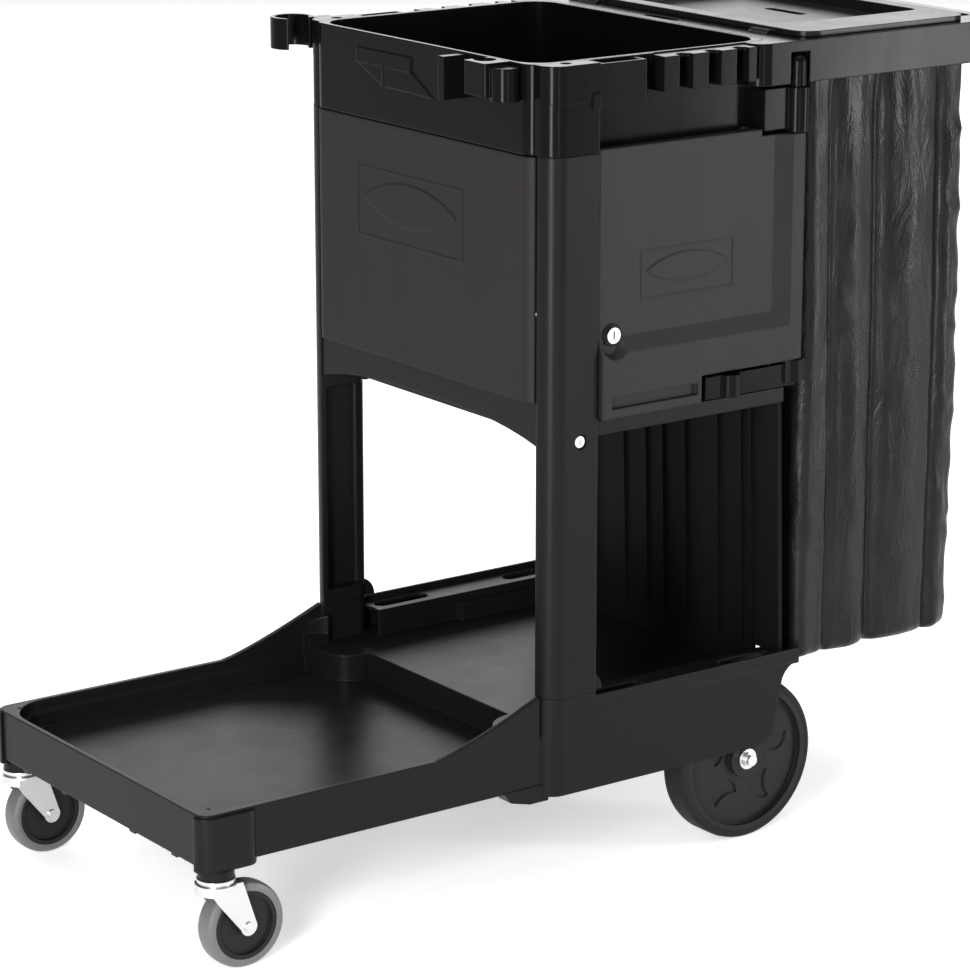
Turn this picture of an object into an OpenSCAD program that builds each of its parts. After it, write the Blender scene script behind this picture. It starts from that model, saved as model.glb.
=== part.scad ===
// Housekeeping cart: a low front platform, a lockable cabinet under a deep top tray,
// an open lower shelf and a hanging waste bag with a hinged lid.
// X runs along the cart from the platform to the push handle, Y across it, Z up.

/* [Cart] */
// Length from the platform's front edge to the push handle
cart_length = 1168; // [1150:1:1190]
// Width over the outer faces of the uprights
frame_width = 500; // [496:1:510]
// Height of the tray rim above the floor
rim_height = 980; // [976:1:990]

/* [Platform and base] */
// Height of the platform rim
platform_rim_z = 190; // [188:1:196]
// Height of the platform's sunk floor
platform_floor_z = 156; // [152:1:160]
// How far the platform sides stand in from the uprights' outer faces
platform_inset = 14; // [13:1:16]
// Height where the uprights stand on the base
post_joint_z = 236; // [234:1:240]

/* [Uprights] */
// Depth of an upright along the cart
post_depth = 70; // [66:1:72]
// Thickness of an upright across the cart
post_thickness = 26; // [24:1:28]

/* [Cabinet] */
// Height of the cabinet floor's top face
cabinet_floor_z = 560; // [556:1:562]
// Height of the doors' top edge
door_top_z = 880; // [876:1:881]
// How far the raised border of a door stands out from its panel
door_border = 10; // [8:1:12]

/* [Wheels] */
// Radius of a rear wheel
rear_wheel_r = 101.6; // [100:0.2:102]
// Width of a rear wheel across the cart
rear_wheel_w = 39; // [38:0.5:40]
// Radius of a caster wheel
caster_r = 50.8; // [50:0.2:51]
// Distance between a caster's swivel axis and its axle
caster_trail = 31; // [29:1:33]

/* [Hidden] */
$fn = 48;
slack = 0.3;                         // gap between separate pieces
half_w = frame_width / 2;
nose_x = -cart_length / 2;
tail_x = cart_length / 2;
lid_x1 = 530;
post_x0 = -116;                      // front face of the uprights
post_x1 = post_x0 + post_depth;
post_in = half_w - post_thickness;   // inner face of the uprights
deck_y = half_w - platform_inset;
deck_x0 = nose_x + 3;
groove = 3;                          // depth of the grooves that hold the back walls
post_front_r = 23;
post_rear_r = 16;
wall = 6;
shelf_z = platform_rim_z;
shelf_end_x = 266;
base_bottom_z = 116;
deck_bottom_z = 129;
sill_z = 224;
sill_lip_z = 231;
sill_in = 205;
wall_in = half_w - 4.6;              // inner face of the base's side walls
tray_bottom_z = 877;
tray_wall_y = 222;
face_x = post_x0 - 6.5;              // front plane of the panel and of the tray
tray_rear_x = 224;
skirt_z = rim_height - 50;           // lower edge of the rear frame's skirt
frame_front_x = 186;
bag_x0 = 276;
bag_x1 = 534;
bag_y = 234;
bag_bottom_z = 208;
hinge_x = 250;
grip_x = 566;
mouth_y = 226;
hinge_y = 246;
hinge_rod_r = 5;
pin_r = 9.8;                         // domed head of the hinge rod
door_x0 = post_x1 + 1.5;
door_face = 247;                     // outer face of a door's panel
door_bottom_z = cabinet_floor_z + 6;
notch_z = 599;                       // underside of the door over the lower bracket
boss_z = [873, skirt_z - 4];
lock_x = -25;
lock_z = 663;
rear_axle = [193.5, rear_wheel_r];
rear_axle_r = 6.35;
rear_wheel_out = 244.5;
swivel_x = nose_x + 27;
swivel_y = 223;
caster_y_half = 14;
lid_axis = [257, rim_height - 3];
hook_centre = [-122, 270];
hook_r = 27;
// The hook stands out on one side only, so the middle plane lies off the box's centre.
mid_y = (hook_centre[1] + hook_r - (hinge_y + 17)) / 2;

// ---- shapes shared by many pieces ----

module placed() {
  translate([0, -mid_y, 0]) children();
}

module near_side() {
  mirror([0, 1, 0]) children();
}

module both_sides() {
  children();
  near_side() children();
}

module block(x, y, z) {
  translate([x[0], y[0], z[0]]) cube([x[1] - x[0], y[1] - y[0], z[1] - z[0]]);
}

module round_rect(x, y, r) {
  translate([x[0] + r, y[0]]) square([x[1] - x[0] - 2 * r, y[1] - y[0]]);
  translate([x[0], y[0] + r]) square([x[1] - x[0], y[1] - y[0] - 2 * r]);
  for (cx = [x[0] + r, x[1] - r], cy = [y[0] + r, y[1] - r])
    translate([cx, cy]) circle(r);
}

module slab(x, y, z, r) {
  translate([0, 0, z[0]]) linear_extrude(z[1] - z[0]) round_rect(x, y, r);
}

// A side-view outline (x, z) carried across the cart between two y values.
module across(y) {
  translate([0, y[1], 0]) rotate([90, 0, 0]) linear_extrude(y[1] - y[0]) children();
}

// A cross outline (y, z) carried along the cart between two x values.
module along(x) {
  translate([x[0], 0, 0]) rotate([90, 0, 90]) linear_extrude(x[1] - x[0]) children();
}

// A plan-view rectangle between two opposite corners.
module span(a, b) {
  translate([min(a[0], b[0]), min(a[1], b[1])]) square([abs(a[0] - b[0]), abs(a[1] - b[1])]);
}

// What has to be taken off a square corner to round it; way points into the shape.
module corner_cut(at, way, r) {
  difference() {
    span([at[0] - way[0], at[1] - way[1]], [at[0] + way[0] * r, at[1] + way[1] * r]);
    translate([at[0] + way[0] * r, at[1] + way[1] * r]) circle(r);
  }
}

// Plan of an upright: round at the outer front and the inner rear corner only.
module post_outline(y) {
  difference() {
    span([post_x0, y[0]], [post_x1, y[1]]);
    corner_cut([post_x0, y[1]], [1, -1], post_front_r);
    corner_cut([post_x1, y[0]], [-1, 1], post_rear_r);
  }
}

module post(y, z) {
  translate([0, 0, z[0]]) linear_extrude(z[1] - z[0]) post_outline(y);
}

// A round bar along Y between two y values.
module bar_y(r, y) {
  translate([0, y[1], 0]) rotate([90, 0, 0]) cylinder(r = r, h = y[1] - y[0]);
}

// ---- base ----

rise_x = [-264, -117];
rise_steps = 10;
rise_power = 1.25;
rise = [for (i = [0:rise_steps]) let (t = i / rise_steps)
  [rise_x[0] + (rise_x[1] - rise_x[0]) * t,
   platform_rim_z + (post_joint_z + 3 - platform_rim_z) * pow(t, rise_power)]];

skirt_at = [200, 150];               // centre of the side wall's round lower rear corner
skirt_r = 34;
tip = [shelf_end_x + 4, 215];        // rear tip of the side wall
hollow_r = 29;                       // hollow curve under the tip

module side_wall() {
  difference() {
    union() {
      span([post_x1 - 1, base_bottom_z], [skirt_at[0], tip[1]]);
      translate(skirt_at) circle(skirt_r);
      polygon([[skirt_at[0] - 1, skirt_at[1] - 1], [skirt_at[0] + skirt_r, skirt_at[1]],
        [tip[0] - hollow_r, tip[1] - hollow_r], [tip[0], tip[1] - hollow_r], tip,
        [skirt_at[0] - 1, tip[1]]]);
    }
    translate([tip[0], tip[1] - hollow_r]) circle(hollow_r);
  }
}

module deck_recess() {
  difference() {
    union() {
      slab([nose_x + 9, -98], [-deck_y + 7, deck_y - 7], [176, 260], 55);
      slab([nose_x + 16, -98], [-deck_y + 12, deck_y - 12], [platform_floor_z, 177], 52);
    }
    both_sides() slab([-145, -40], [147, 300], [100, platform_rim_z + 12], 48);
  }
}

module deck_pan() {
  difference() {
    union() {
      slab([deck_x0, -60], [-deck_y, deck_y], [deck_bottom_z, platform_rim_z], 16);
      // small feet under the front edge
      both_sides() for (y = [78, 170])
        block([deck_x0 + 2, deck_x0 + 14], [y - 6, y + 6], [deck_bottom_z - 4, deck_bottom_z + 1]);
      both_sides() across([deck_y - 8, deck_y])
        polygon(concat([[rise_x[0], platform_rim_z - 10]], rise, [[rise_x[1], platform_rim_z - 10]]));
      both_sides() across([deck_y - 22, deck_y - 7])
        polygon([[-215, 180], [-215, 196], [-150, 214], [-115, 226], [-115, 180]]);
    }
    deck_recess();
    // hollow underside, left as a grid of ribs
    for (i = [0:4], j = [0:4])
      block([nose_x + 44 + i * 86, nose_x + 122 + i * 86], [-212 + j * 86, -134 + j * 86],
        [deck_bottom_z - 1, platform_floor_z - wall]);
  }
}

module post_foot() {
  post([post_in, half_w], [base_bottom_z, post_joint_z]);
  // stepped toe ahead of the foot
  across([post_in - 10, half_w - 12]) polygon([[post_x0 - 54, deck_bottom_z + 1],
    [post_x0 - 44, 117], [post_x0 - 17, 110], [post_x0 + 10, 110], [post_x0 + 10, deck_bottom_z + 2],
    [post_x0 - 54, deck_bottom_z + 2]]);
}

arch_x0 = 76;                        // front of the wheel housing

module sill() {
  across([wall_in, half_w]) side_wall();
  // sill top with its raised outer lip
  block([post_x1 - 1, tip[0] - 4], [sill_in - 4, wall_in + 1], [sill_z - 5, sill_z]);
  block([post_x1 - 1, tip[0]], [half_w - 5, half_w - 1], [sill_z - 12, sill_lip_z]);
  block([post_x1 - 1, arch_x0 + 5], [sill_in - 4, sill_in], [shelf_z - 4, sill_z - 1]);
  block([arch_x0, tip[0] - 4], [sill_in - 4, sill_in], [208, sill_z - 1]);
  // housing over the wheel
  block([arch_x0, shelf_end_x], [190, sill_in], [207, 213]);
  block([arch_x0, shelf_end_x], [190, 195], [150, 213]);
  block([arch_x0, arch_x0 + 5], [190, wall_in + 1], [150, 213]);
}

module axle_lug() {
  across([174, 190]) difference() {
    union() {
      translate(rear_axle) circle(17);
      translate([rear_axle[0] - 30, rear_axle[1]]) square([60, 75]);
    }
    translate(rear_axle) circle(rear_axle_r + 0.08);
  }
}

back_foot_x = 247.2;                 // front face of the lower back wall's foot

module base_deck() color([0.045, 0.045, 0.05]) placed() difference() {
  union() {
    deck_pan();
    // shelf floor and the box below it
    difference() {
      block([-98, shelf_end_x], [-(wall_in + 1), wall_in + 1], [base_bottom_z + 15, shelf_z]);
      for (i = [0:3], j = [0:4])
        block([-88 + i * 86, -10 + i * 86], [-212 + j * 86, -134 + j * 86],
          [base_bottom_z + 14, shelf_z - wall]);
      both_sides() block([arch_x0 + 5, shelf_end_x + 1], [195, half_w], [base_bottom_z, shelf_z + 1]);
      // groove for the foot of the lower back wall
      block([back_foot_x - slack, back_foot_x + 6 + slack], [-188 - slack, 188 + slack],
        [shelf_z - groove, shelf_z + 1]);
    }
    both_sides() post_foot();
    both_sides() sill();
    both_sides() axle_lug();
  }
  // sockets for the caster stems
  both_sides() translate([swivel_x, swivel_y, deck_bottom_z - 2])
    cylinder(r = 5.6, h = platform_rim_z - deck_bottom_z - 8);
  // hand slots through the sill tops
  both_sides() for (x = [-38, 165])
    slab([x, x + 80], [sill_in + 8, sill_in + 28], [sill_z - 6, sill_z + 1], 9.9);
  // small moulding holes in the front corners
  both_sides() translate([nose_x + 24, deck_y - 20, platform_rim_z - 6]) cylinder(r = 2, h = 10);
}

module corner_block() {
  difference() {
    slab([nose_x, nose_x + 78], [160, deck_y + 5], [123, platform_rim_z - 3], 19);
    slab([deck_x0 - slack, nose_x + 140], [100, deck_y + slack], [deck_bottom_z - slack, 260], 16.3);
    translate([swivel_x, swivel_y, 100]) cylinder(r = 5.7, h = 60);
    block([nose_x - 1, nose_x + 28], [100, deck_y - 16], [100, 260]);
    block([nose_x - 1, nose_x + 90], [100, deck_y - 34], [100, 260]);
  }
  // round boss over the caster
  difference() {
    translate([swivel_x, swivel_y, 112.5]) cylinder(r = 21, h = 11);
    translate([swivel_x, swivel_y, 100]) cylinder(r = 5.7, h = 60);
  }
}

module corner_block_near() color([0.06, 0.06, 0.065]) placed() near_side() corner_block();
module corner_block_far() color([0.06, 0.06, 0.065]) placed() corner_block();

// ---- uprights and their bolts ----

bolt_x = post_x0 + 45;
bolt_z = 543;

module upright() {
  difference() {
    post([post_in, half_w], [post_joint_z + slack, tray_bottom_z - slack]);
    // hollow channel, open towards the inside of the cart
    slab([post_x0 + 8, post_x1 - 8], [post_in - 20, half_w - 9], [post_joint_z + 20, 520], 5);
    translate([bolt_x, 0, bolt_z]) bar_y(9, [half_w - 5, half_w + 1]);
    translate([bolt_x, 0, bolt_z]) bar_y(4.2, [post_in - 1, half_w]);
  }
  // rounded gusset at the foot
  across([post_in + 8, half_w - 5]) intersection() {
    span([post_x1 - 1, post_joint_z + slack], [post_x1 + 13, post_joint_z + 26]);
    translate([post_x1 - 12, post_joint_z]) circle(25);
  }
}

module upright_near() color([0.05, 0.05, 0.055]) placed() near_side() upright();
module upright_far() color([0.05, 0.05, 0.055]) placed() upright();

module frame_bolts() color([0.75, 0.76, 0.78]) placed() both_sides()
  translate([bolt_x, 0, bolt_z]) difference() {
    union() {
      bar_y(4, [half_w - 40, half_w - 4]);
      bar_y(7, [half_w - 5, half_w - 1.5]);
    }
    rotate([-90, 0, 0]) translate([0, 0, half_w - 3.4]) cylinder(r = 3, h = 5, $fn = 6);
  }

// ---- cabinet ----

arch_end_z = 538;
arch_rise = 19;
arch_steps = 16;
arch = [for (i = [0:arch_steps]) let (t = 2 * i / arch_steps - 1)
  [t * (post_in - slack), arch_end_z + arch_rise * (1 - t * t * abs(t))]];

cab_back_x = 226;                    // front face of the cabinet's back wall

module mid_shelf() color([0.05, 0.05, 0.055]) placed() difference() {
  union() {
    difference() {
      block([-112, 238], [-(post_in - slack), post_in - slack], [cabinet_floor_z - 8, cabinet_floor_z]);
      // groove for the cabinet's back wall
      block([cab_back_x - slack, cab_back_x + 5 + slack], [-300, 300],
        [cabinet_floor_z - groove, cabinet_floor_z + 1]);
    }
    // front apron with its arched lower edge
    along([-114, -108]) polygon(concat(arch, [[post_in - slack, 590], [-(post_in - slack), 590]]));
    // side bands below the doors
    both_sides() block([post_x1 + slack, 238], [post_in - 4, half_w - 4],
      [cabinet_floor_z - 14, cabinet_floor_z - groove - 0.5]);
    both_sides() block([post_x1 + slack, 238], [half_w - 12, half_w - 4],
      [cabinet_floor_z - 14, cabinet_floor_z + 4]);
    // stiffening ribs under the floor
    for (x = [-60, 20, 100, 180])
      block([x, x + 5], [-(post_in - 3), post_in - 3], [cabinet_floor_z - 22, cabinet_floor_z - 4]);
    // stems that take the frame bolts
    both_sides() translate([bolt_x, 0, bolt_z])
      bar_y(11, [post_in - 34, post_in - slack]);
  }
  both_sides() translate([bolt_x, 0, bolt_z]) bar_y(4.15, [post_in - 40, post_in + 1]);
}

rib_y = [17, 62, 126, 171, 190];     // ribs on the front of the lower back wall

module lower_back() color([0.04, 0.04, 0.045]) placed() {
  // the wall leans back a little towards its foot
  across([-(half_w - 12), half_w - 12])
    polygon([[246, sill_z + 1], [252, sill_z + 1], [242, cabinet_floor_z - 15],
      [236, cabinet_floor_z - 15]]);
  across([-188, 188])
    polygon([[back_foot_x, shelf_z - groove + slack], [back_foot_x + 6, shelf_z - groove + slack],
      [252, sill_z + 2], [246, sill_z + 2]]);
  both_sides() for (y = rib_y)
    across([y - 1.6, y + 1.6])
      polygon([[242, sill_z + 1], [247, sill_z + 1], [237, cabinet_floor_z - 15],
        [232.5, cabinet_floor_z - 15]]);
}

module cabinet_back() color([0.05, 0.05, 0.055]) placed() {
  block([cab_back_x, cab_back_x + 5], [-(post_in - 1), post_in - 1],
    [cabinet_floor_z - groove + slack, tray_bottom_z - slack]);
  for (i = [-2:2])
    block([cab_back_x - 6, cab_back_x + 1], [i * 90 - 3, i * 90 + 3],
      [cabinet_floor_z + 4, tray_bottom_z - 4]);
}

// A plain raised shield, wider in the middle than at its ends.
module badge(w, h) {
  intersection() {
    square([w, h], center = true);
    translate([0, -w * 0.9]) circle(w * 0.9 + h / 2, $fn = 120);
    translate([0, w * 0.9]) circle(w * 0.9 + h / 2, $fn = 120);
  }
}

module panel_badge_frame(w, h, t) {
  difference() {
    square([w + 12, h + 12], center = true);
    square([w + 12 - 2 * t, h + 12 - 2 * t], center = true);
  }
}

panel_y = post_in - slack;

module front_panel() color([0.2, 0.19, 0.185]) placed() {
  difference() {
    slab([face_x, -80], [-panel_y, panel_y], [589, tray_bottom_z - 2], 18);
    slab([face_x + 5, -70], [-(panel_y - 5), panel_y - 5], [594, tray_bottom_z - 7], 13);
    block([-114.3, -60], [-300, 300], [580, 900]);
  }
  along([face_x - 1, face_x + 1]) translate([20, 782]) badge(190, 52);
  along([face_x - 0.6, face_x + 1]) translate([20, 776]) panel_badge_frame(206, 74, 2.2);
}

// ---- top tray ----

tooth_x = [[46, 68], [88, 111], [130, 153], [171, 183]];

module tool_teeth() {
  for (x = tooth_x)
    block(x, [tray_wall_y - 2, half_w], [rim_height - 42, rim_height - 1.5]);
  for (i = [0:2]) {
    // round tool seats cut into the rim between the teeth
    mid = (tooth_x[i][1] + tooth_x[i + 1][0]) / 2;
    difference() {
      block([tooth_x[i][1] - 1, tooth_x[i + 1][0] + 1], [tray_wall_y - 2, half_w - 8],
        [rim_height - 6, rim_height - 1.5]);
      translate([mid, half_w - 6, rim_height - 10]) cylinder(r = 8.5, h = 20);
    }
  }
}

module side_pocket() {
  difference() {
    block([post_x1 - 1, 20], [tray_wall_y - 2, half_w], [rim_height - 50, rim_height - 1.5]);
    block([post_x1 + 6, 15], [tray_wall_y + 2, half_w - 4], [rim_height - 46, rim_height + 1]);
  }
}

module corner_post() {
  difference() {
    union() {
      post([post_in - 6, half_w - 0.5], [tray_bottom_z, rim_height - 42]);
      post([post_in - 6, half_w], [rim_height - 43, rim_height]);
    }
    // room for the bin
    slab([face_x - slack, tray_rear_x], [-(tray_wall_y + slack), tray_wall_y + slack],
      [tray_bottom_z - 1, rim_height + 1], 18);
    translate([post_x0 + 34, tray_wall_y + 10, rim_height - 12]) cylinder(r = 6.5, h = 20);
  }
}

// Corner post, side pocket, tool teeth and rim strip of one side.
module rim_side() {
  difference() {
    union() {
      tool_teeth();
      side_pocket();
      block([post_x1 - 2, tooth_x[0][0] + 4], [tray_wall_y, tray_wall_y + 4],
        [rim_height - 12, rim_height]);
      block([post_x1 - 10, post_x1 - 1], [half_w - 6, half_w + 3], [rim_height - 52, rim_height - 34]);
    }
    block([post_x1 - 20, tray_rear_x], [0, tray_wall_y + slack], [tray_bottom_z - 1, rim_height + 1]);
  }
  corner_post();
}

module rim_side_near() color([0.03, 0.03, 0.034]) placed() near_side() rim_side();
module rim_side_far() color([0.03, 0.03, 0.034]) placed() rim_side();

hook_z = [rim_height - 37, rim_height + 1];

module broom_hook() color([0.03, 0.03, 0.034]) placed() difference() {
  union() {
    translate([hook_centre[0], hook_centre[1], hook_z[0]]) cylinder(r = hook_r, h = hook_z[1] - hook_z[0]);
    block([post_x0 + 6, post_x0 + 40], [half_w - 8, half_w + 14], [hook_z[0] + 2, rim_height]);
  }
  translate([hook_centre[0], hook_centre[1], rim_height - 50]) cylinder(r = hook_r - 6, h = 60);
  block([hook_centre[0] - 18, hook_centre[0] + 12], [hook_centre[1] - 40, hook_centre[1] - 10],
    [rim_height - 50, rim_height + 5]);
  // room for the corner post
  block([post_x0 - 2, post_x1], [100, half_w + slack], [rim_height - 50, rim_height + 5]);
}

module handle_clip() color([0.03, 0.03, 0.034]) placed() {
  block([face_x - 33, face_x - slack], [-98, -87], [rim_height - 52, rim_height - 2]);
  difference() {
    union() {
      slab([face_x - 36, face_x + 12], [-182, -141], [rim_height - 38, rim_height], 4);
      translate([face_x - 15, -192, rim_height - 42]) cylinder(r = 17, h = 38);
    }
    // round seat for a broom handle, reached from the gap beside it
    translate([face_x - 15, -154, rim_height - 60]) cylinder(r = 13, h = 80);
    block([face_x - 24, face_x - 6], [-154, -135], [rim_height - 60, rim_height + 1]);
    block([face_x - slack, face_x + 20], [-230, -100], [rim_height - 60, rim_height + 1]);
  }
}

module label_ledge() {
  along([face_x - 2.5, face_x + 1])
    polygon([[14, 943], [14, 961], [127, 961], [127, 943]]);
  along([face_x - 2, face_x + 1])
    polygon([[127, 944], [70, 920], [-32, 918], [14, 944]]);
  along([face_x - 3, face_x + 1]) span([68.5, 920], [71.5, 944]);
}

module top_tray() color([0.03, 0.03, 0.034]) placed() {
  difference() {
    slab([face_x, tray_rear_x], [-tray_wall_y, tray_wall_y], [tray_bottom_z, rim_height], 18);
    slab([face_x + 5, tray_rear_x - 5], [-(tray_wall_y - 5), tray_wall_y - 5],
      [tray_bottom_z + 6, rim_height + 1], 34);
  }
  label_ledge();
}

// ---- rear frame, lid and bag ----

rail_x = bag_x1 + 3;                 // cross rail behind the bag

module bag_frame() color([0.03, 0.03, 0.034]) placed() difference() {
  union() {
    difference() {
      slab([frame_front_x, tail_x], [-half_w, half_w], [skirt_z, rim_height], 20);
      slab([frame_front_x + 5, tail_x - 5], [-(half_w - 5), half_w - 5], [skirt_z - 1, rim_height - 6], 15);
    }
    // cross rail behind the bag, and the handle's inner wall
    block([rail_x, rail_x + 5], [-(half_w - 5), half_w - 5], [skirt_z, rim_height - 3]);
    block([grip_x, grip_x + 4], [-(half_w - 5), half_w - 5], [skirt_z, rim_height - 3]);
    // front beam behind the tray
    block([tray_rear_x + 1, tray_rear_x + 6], [-(half_w - 5), half_w - 5], [skirt_z, rim_height - 3]);
    block([260, 265], [-(half_w - 5), half_w - 5], [skirt_z, rim_height - 3]);
  }
  // room for the tray
  slab([frame_front_x - 40, tray_rear_x + slack], [-(tray_wall_y + slack), tray_wall_y + slack],
    [skirt_z - 30, rim_height + 1], 18);
  block([frame_front_x - 40, frame_front_x + 60], [-(tray_wall_y + slack), tray_wall_y + slack],
    [skirt_z - 30, skirt_z - 0.1]);
  // mouth for the bag, and the hand gap in front of the grip
  slab([265, bag_x1 - 8], [-mouth_y, mouth_y], [skirt_z - 30, rim_height + 1], 16);
  slab([rail_x + 5, grip_x], [-205, 205], [skirt_z - 1, rim_height + 1], 10);
  // recesses for the domed heads of the hinge rods
  both_sides() translate([hinge_x, hinge_y, skirt_z - 1]) cylinder(r = pin_r + 5, h = 38);
  // notches for the lid's two knuckles
  both_sides() block([249, 270], [149, 183], [rim_height - 12, rim_height + 1]);
  // bores for the lid pins
  both_sides() translate([lid_axis[0], 0, lid_axis[1]]) bar_y(2, [139, 193]);
  // round slot in the strip behind the tray
  slab([236, 247], [-32, 32], [rim_height - 12, rim_height + 1], 5);
}

module lid_pins() color([0.6, 0.6, 0.62]) placed() both_sides()
  translate([lid_axis[0], 0, lid_axis[1]]) bar_y(2, [139.2, 192.8]);

lid_z = rim_height + slack;

module lid() color([0.04, 0.04, 0.045]) placed() difference() {
  union() {
    slab([265.5, lid_x1], [-238, 238], [lid_z, rim_height + 7], 26);
    both_sides() {
      translate([lid_axis[0], 0, lid_axis[1]]) bar_y(5, [149.4, 182.6]);
      block([lid_axis[0], 268], [149.4, 182.6], [lid_z, rim_height + 4]);
      block([lid_axis[0] - 1, lid_axis[0] + 5], [149.4, 182.6], [lid_axis[1], rim_height + 4]);
    }
    // sunk dish
    slab([284, lid_x1 - 16], [-172, 172], [rim_height - 12, rim_height + 3], 16);
  }
  slab([288, lid_x1 - 20], [-168, 168], [rim_height - 8, rim_height + 8], 12);
  both_sides() translate([lid_axis[0], 0, lid_axis[1]]) bar_y(2.06, [140, 192]);
  slab([432, 446], [-36, 36], [rim_height - 20, rim_height + 8], 6);
}

// Woven vinyl bag: a soft open sack, taken at its true outer size.
module bag() color([0.07, 0.07, 0.075]) placed() difference() {
  slab([bag_x0, bag_x1], [-bag_y, bag_y], [bag_bottom_z, rim_height - 9], 14);
  slab([bag_x0 + 4, bag_x1 - 4], [-(bag_y - 4), bag_y - 4], [bag_bottom_z + 4, rim_height], 10);
}

module bag_clips() color([0.08, 0.08, 0.085]) placed() both_sides()
  for (x = [310, 395, 480])
    block([x, x + 24], [bag_y + slack, half_w - 5 - slack], [skirt_z + 12, rim_height - 6 - slack]);

// ---- doors ----

slope = 20;                          // width of the sloped edge of the border
border_top = 661;
border_left = 216;
out_face = door_face + door_border;

module door() {
  difference() {
    union() {
      block([door_x0, hinge_x - 6], [door_face - 6, door_face], [door_bottom_z, door_top_z]);
      // raised border along the bottom and the hinge side
      along([door_x0, hinge_x - 2]) polygon([[door_face - 6, door_bottom_z], [out_face, door_bottom_z],
        [out_face, border_top - slope], [door_face, border_top], [door_face - 6, border_top]]);
      translate([0, 0, notch_z]) linear_extrude(boss_z[0] - 1 - notch_z)
        polygon([[border_left, door_face - 6], [border_left, door_face],
          [border_left + slope, out_face], [hinge_x, out_face], [hinge_x, door_face - 6]]);
      translate([hinge_x, hinge_y, notch_z]) cylinder(r = out_face - hinge_y, h = boss_z[0] - 1 - notch_z);
      // stiffening returns inside
      block([door_x0, door_x0 + 4], [door_face - 14, door_face - 5], [door_bottom_z, door_top_z]);
      block([door_x0, hinge_x - 14], [door_face - 14, door_face - 5], [door_top_z - 4, door_top_z]);
      // sleeve for the lock
      translate([lock_x, 0, lock_z]) bar_y(15, [door_face - 18, door_face]);
    }
    // the hollow behind the raised border
    block([door_x0 + 5, 96], [door_face - 20, out_face - 5], [door_bottom_z + 5, lock_z - 28]);
    // relief over the lower hinge bracket
    block([102, hinge_x + 20], [door_face - 30, out_face + 10], [door_bottom_z - 5, notch_z]);
    // the corner under the upper hinge bracket
    block([196, hinge_x + 20], [door_face - 30, out_face + 10], [boss_z[0] - 1, door_top_z + 5]);
    // bore for the hinge rod
    translate([hinge_x, hinge_y, notch_z - 5]) cylinder(r = hinge_rod_r + 0.08, h = 300);
    // lock hole and the funnel in front of it
    translate([lock_x, 0, lock_z]) bar_y(11, [door_face - 30, out_face + 5]);
    translate([lock_x, door_face - 0.5, lock_z - 10]) rotate([-90, 0, 0])
      cylinder(r1 = 13, r2 = 19, h = door_border + 2);
  }
}

module door_solid() {
  difference() {
    union() {
      door();
      block([-35, 101], [out_face - 10, out_face - 4], [573, 595]);
    }
    block([-31, 97], [out_face - 6, out_face + 5], [577, 591]);
  }
  // badge
  translate([86, 0, 732]) across([door_face - 1, door_face + 1]) badge(118, 34);
  translate([86, 0, 728]) across([door_face - 1, door_face + 0.6]) panel_badge_frame(126, 46, 1.8);
}

module door_near() color([0.17, 0.17, 0.18]) placed() near_side() door_solid();
module door_far() color([0.17, 0.17, 0.18]) placed() door_solid();

module hinge_rod() {
  translate([hinge_x, hinge_y, 572]) cylinder(r = hinge_rod_r, h = boss_z[1] - 572 + 1);
  translate([hinge_x, hinge_y, boss_z[1] + slack]) cylinder(r = pin_r, h = 28);
  translate([hinge_x, hinge_y, boss_z[1] + slack + 28]) intersection() {
    sphere(r = pin_r);
    cylinder(r = 10, h = 10);
  }
}

module hinge_rod_near() color([0.12, 0.12, 0.125]) placed() near_side() hinge_rod();
module hinge_rod_far() color([0.12, 0.12, 0.125]) placed() hinge_rod();

module upper_hinge_brackets() color([0.04, 0.04, 0.045]) placed() both_sides() difference() {
  union() {
    block([200, hinge_x], [tray_wall_y + slack, half_w - 4], [boss_z[0] + 4, boss_z[1]]);
    translate([hinge_x, hinge_y, boss_z[0]]) cylinder(r = 14, h = boss_z[1] - boss_z[0]);
  }
  translate([hinge_x, hinge_y, boss_z[0] - 5]) cylinder(r = hinge_rod_r, h = 90);
  block([100, tray_rear_x + 40], [0, tray_wall_y + slack], [800, 1000]);
}

module lower_hinge_brackets() color([0.04, 0.04, 0.045]) placed() both_sides() difference() {
  union() {
    block([112, hinge_x], [half_w - 4 + slack, half_w + 2], [door_bottom_z + 1, notch_z - 5]);
    translate([hinge_x, hinge_y, door_bottom_z + 5]) cylinder(r = 13, h = notch_z - 1 - door_bottom_z - 5);
    block([232, hinge_x + 13], [230, half_w + 5], [door_bottom_z + 5, notch_z - 1]);
    translate([150, half_w + 1, door_bottom_z + 1]) cylinder(r = 12, h = notch_z - 5 - door_bottom_z - 1);
  }
  translate([hinge_x, hinge_y, 572]) cylinder(r = hinge_rod_r, h = 90);
}

// ---- cabinet locks ----

lock_y = [door_face - 22, door_face + 2];

module at_lock() {
  translate([lock_x, 0, lock_z]) children();
}

module lock_case() at_lock() difference() {
  union() {
    bar_y(10.9, lock_y);
    bar_y(13, [door_face + slack, door_face + 2]);
  }
  bar_y(8.06, [lock_y[0] - 1, lock_y[1] + 1]);
}

module lock_plug() at_lock() difference() {
  union() {
    bar_y(8, [lock_y[0] - 1.5, lock_y[1] + 2]);
    bar_y(9.5, [lock_y[1] + 0.4, lock_y[1] + 3]);
    bar_y(3, [lock_y[0] - 6, lock_y[0]]);
  }
  block([-1, 1], [lock_y[1] - 3, lock_y[1] + 5], [-5, 5]);
}

module lock_cam() at_lock() difference() {
  across([lock_y[0] - 4.2, lock_y[0] - 1.7]) {
    circle(9);
    translate([-7, -30]) square([14, 30]);
  }
  bar_y(3, [lock_y[0] - 8, lock_y[0]]);
}

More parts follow.
